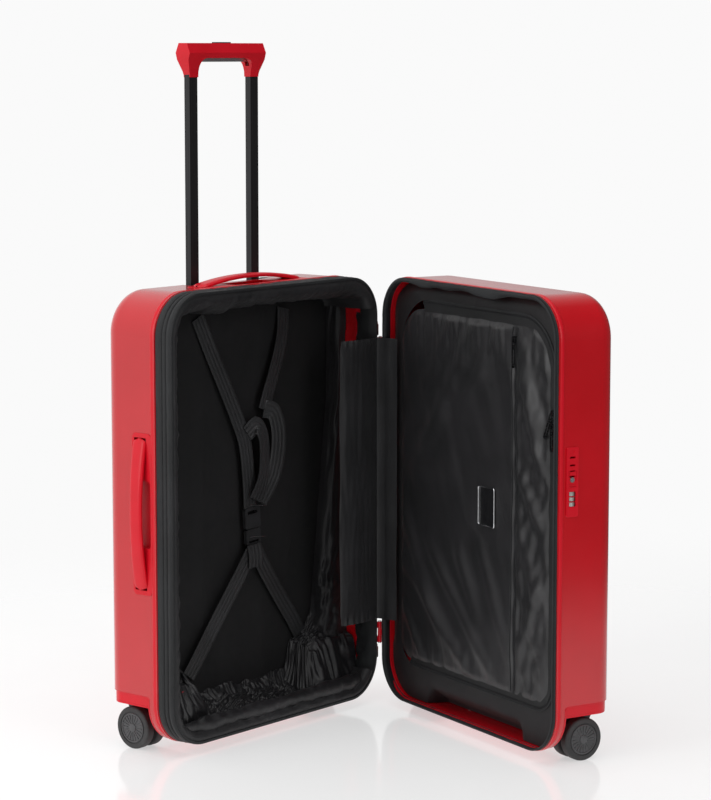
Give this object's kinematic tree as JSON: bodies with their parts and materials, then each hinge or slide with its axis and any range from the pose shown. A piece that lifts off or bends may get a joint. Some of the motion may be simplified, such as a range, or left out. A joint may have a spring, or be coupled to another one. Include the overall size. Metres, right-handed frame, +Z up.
{
  "type": "hard shell suitcase on wheels",
  "caption": "Hard shell travel case that opens like a book, with a telescopic handle, swivelling twin wheels, a combination lock, packing straps and a zipped divider.",
  "frame": {"origin": "middle of the footprint on the floor, with the case standing on its wheels and open by 70 degrees", "axes": "+Z up, +Y from the back half's opening towards its outer face, +X from the back half's lock side towards the spine hinge"},
  "size_m": [0.5676, 0.5965, 1.0125],
  "materials": {
    "red_shell": "high gloss polycarbonate",
    "red_plastic": "satin gloss",
    "black_plastic": "fine texture",
    "black_aluminium": "black anodised, satin",
    "tube_aluminium": "mill finish",
    "gusset_cloth": "woven nylon",
    "zip_nylon": "nylon coil",
    "lining_cloth": "satin coated nylon",
    "webbing": "ribbed webbing",
    "steel": "satin",
    "zip_metal": "black nickel",
    "patch_metal": "polished",
    "dial_metal": "satin",
    "wheel_rubber": "matt"
  },
  "bodies": {
    "back": {"back_shell": "red_shell", "back_gusset": "gusset_cloth", "expansion_zip": "zip_nylon", "main_zip_back": "zip_nylon", "back_lining": "lining_cloth", "trolley_tubes": "tube_aluminium", "handle_cup": "black_plastic", "tube_foot": "black_plastic", "handle_trays": "red_plastic", "back_wheel_housings": "red_plastic", "hinge_back_leaves": "red_plastic", "hinge_pins": "steel", "back_fasteners": "steel", "straps": "webbing", "strap_buckle": "black_plastic", "spine_flap_back": "lining_cloth"},
    "front": {"front_shell": "red_shell", "main_zip_front": "zip_nylon", "front_lining": "lining_cloth", "divider_zip": "zip_nylon", "front_wheel_housings": "red_plastic", "hinge_front_leaves": "red_plastic", "front_fasteners": "steel", "lock_body": "red_plastic", "spine_flap_front": "lining_cloth"},
    "trolley": {"poles": "black_aluminium", "grip": "red_plastic", "pole_shoes": "black_plastic"},
    "release": {"grip_button": "black_plastic", "release_rods": "steel"},
    "top_handle": {"top_handle": "red_plastic"},
    "side_handle": {"side_handle": "red_plastic"},
    "lock_button": {"lock_button": "red_plastic"},
    "key_cylinder": {"key_cylinder": "steel"},
    "dial_1": {"dial_1": "dial_metal"},
    "dial_2": {"dial_2": "dial_metal"},
    "dial_3": {"dial_3": "dial_metal"},
    "main_slider_upper": {"main_slider_upper": "zip_metal"},
    "main_pull_upper": {"main_pull_upper": "zip_metal"},
    "main_slider_lower": {"main_slider_lower": "zip_metal"},
    "main_pull_lower": {"main_pull_lower": "zip_metal"},
    "divider": {"divider_panel": "lining_cloth", "pocket_zip": "zip_nylon", "pocket_patch": "patch_metal"},
    "divider_slider_upper": {"divider_slider_upper": "zip_metal"},
    "divider_pull_upper": {"divider_pull_upper": "zip_metal"},
    "divider_slider_lower": {"divider_slider_lower": "zip_metal"},
    "divider_pull_lower": {"divider_pull_lower": "zip_metal"},
    "pocket_slider": {"pocket_slider": "zip_metal"},
    "pocket_pull": {"pocket_pull": "zip_metal"},
    "caster_back_outer": {"fork_back_outer": "black_plastic"},
    "wheels_back_outer": {"wheels_back_outer": "wheel_rubber"},
    "caster_back_inner": {"fork_back_inner": "black_plastic"},
    "wheels_back_inner": {"wheels_back_inner": "wheel_rubber"},
    "caster_front_outer": {"fork_front_outer": "black_plastic"},
    "wheels_front_outer": {"wheels_front_outer": "wheel_rubber"},
    "caster_front_inner": {"fork_front_inner": "black_plastic"},
    "wheels_front_inner": {"wheels_front_inner": "wheel_rubber"}
  },
  "joints": [
    {"name": "case_hinge", "type": "hinge", "parent": "back", "child": "front", "pos_m": [0.193, 0.166, 0.339], "axis": [0, 0, 1], "range_deg": [-70, 110]},
    {"name": "trolley_slide", "type": "slide", "parent": "back", "child": "trolley", "axis": [0, 0, 1], "range_m": [-0.333, 0]},
    {"name": "grip_button_press", "type": "slide", "parent": "trolley", "child": "release", "axis": [0, 0, -1], "range_m": [0, 0.003], "stiffness_N_per_m": 1500, "springref_m": -0.004},
    {"name": "top_handle_pull", "type": "slide", "parent": "back", "child": "top_handle", "axis": [0, 0, 1], "range_m": [0, 0.01], "stiffness_N_per_m": 400, "springref_m": -0.003},
    {"name": "side_handle_pull", "type": "slide", "parent": "back", "child": "side_handle", "axis": [-1, 0, 0], "range_m": [0, 0.01], "stiffness_N_per_m": 400, "springref_m": -0.003},
    {"name": "swivel_back_outer", "type": "hinge", "parent": "back", "child": "caster_back_outer", "pos_m": [-0.234, 0.278, 0.066], "axis": [0, 0, 1], "continuous": true},
    {"name": "roll_back_outer", "type": "hinge", "parent": "caster_back_outer", "child": "wheels_back_outer", "pos_m": [-0.234, 0.266, 0.031], "axis": [1, 0, 0], "continuous": true},
    {"name": "swivel_back_inner", "type": "hinge", "parent": "back", "child": "caster_back_inner", "pos_m": [0.152, 0.278, 0.066], "axis": [0, 0, 1], "continuous": true},
    {"name": "roll_back_inner", "type": "hinge", "parent": "caster_back_inner", "child": "wheels_back_inner", "pos_m": [0.152, 0.266, 0.031], "axis": [1, 0, 0], "continuous": true},
    {"name": "swivel_front_outer", "type": "hinge", "parent": "front", "child": "caster_front_outer", "pos_m": [0.12166, -0.26244, 0.066], "axis": [0, 0, 1], "continuous": true},
    {"name": "roll_front_outer", "type": "hinge", "parent": "caster_front_outer", "child": "wheels_front_outer", "pos_m": [0.11039, -0.25833, 0.031], "axis": [-0.342, -0.9397, 0], "continuous": true},
    {"name": "swivel_front_inner", "type": "hinge", "parent": "front", "child": "caster_front_inner", "pos_m": [0.25368, 0.10028, 0.066], "axis": [0, 0, 1], "continuous": true},
    {"name": "roll_front_inner", "type": "hinge", "parent": "caster_front_inner", "child": "wheels_front_inner", "pos_m": [0.24241, 0.10439, 0.031], "axis": [-0.342, -0.9397, 0], "continuous": true},
    {"name": "lock_release", "type": "slide", "parent": "front", "child": "lock_button", "axis": [0, 0, -1], "range_m": [0, 0.002], "stiffness_N_per_m": 300, "springref_m": -0.001},
    {"name": "key_turn", "type": "hinge", "parent": "front", "child": "key_cylinder", "pos_m": [0.06284, -0.27934, 0.4092], "axis": [-0.342, -0.9397, 0], "range_deg": [0, 90]},
    {"name": "dial_1_turn", "type": "hinge", "parent": "front", "child": "dial_1", "pos_m": [0.06455, -0.27464, 0.3895], "axis": [0, 0, 1], "continuous": true},
    {"name": "dial_2_turn", "type": "hinge", "parent": "front", "child": "dial_2", "pos_m": [0.06455, -0.27464, 0.3822], "axis": [0, 0, 1], "continuous": true},
    {"name": "dial_3_turn", "type": "hinge", "parent": "front", "child": "dial_3", "pos_m": [0.06455, -0.27464, 0.3749], "axis": [0, 0, 1], "continuous": true},
    {"name": "main_slider_upper_run", "type": "slide", "parent": "back", "child": "main_slider_upper", "axis": [0, 0, 1], "range_m": [0, 0.01]},
    {"name": "main_pull_upper_swing", "type": "hinge", "parent": "main_slider_upper", "child": "main_pull_upper", "pos_m": [0.1919, 0.172, 0.5877], "axis": [0, 1, 0], "range_deg": [-80, 0]},
    {"name": "main_slider_lower_run", "type": "slide", "parent": "back", "child": "main_slider_lower", "axis": [0, 0, 1], "range_m": [-0.004, 0]},
    {"name": "main_pull_lower_swing", "type": "hinge", "parent": "main_slider_lower", "child": "main_pull_lower", "pos_m": [0.1919, 0.172, 0.0877], "axis": [0, 1, 0], "range_deg": [-80, 0]},
    {"name": "divider_fold", "type": "hinge", "parent": "front", "child": "divider", "pos_m": [0.19931, 0.12837, 0.353], "axis": [0, 0, -1], "range_deg": [0, 60]},
    {"name": "divider_slider_upper_run", "type": "slide", "parent": "divider", "child": "divider_slider_upper", "axis": [0, 0, 1], "range_m": [0, 0.066]},
    {"name": "divider_pull_upper_swing", "type": "hinge", "parent": "divider_slider_upper", "child": "divider_pull_upper", "pos_m": [0.05513, -0.24993, 0.5007], "axis": [0.31, 0.8517, 0.4226], "range_deg": [0, 110]},
    {"name": "divider_slider_lower_run", "type": "slide", "parent": "divider", "child": "divider_slider_lower", "axis": [0, 0, 1], "range_m": [-0.346, 0]},
    {"name": "divider_pull_lower_swing", "type": "hinge", "parent": "divider_slider_lower", "child": "divider_pull_lower", "pos_m": [0.05513, -0.24993, 0.4837], "axis": [0.342, 0.9397, 0], "range_deg": [0, 110]},
    {"name": "pocket_slider_run", "type": "slide", "parent": "divider", "child": "pocket_slider", "axis": [0, 0, 1], "range_m": [-0.48, 0]},
    {"name": "pocket_pull_swing", "type": "hinge", "parent": "pocket_slider", "child": "pocket_pull", "pos_m": [0.08878, -0.15895, 0.5957], "axis": [0.342, 0.9397, 0], "range_deg": [0, 110]}
  ]
}
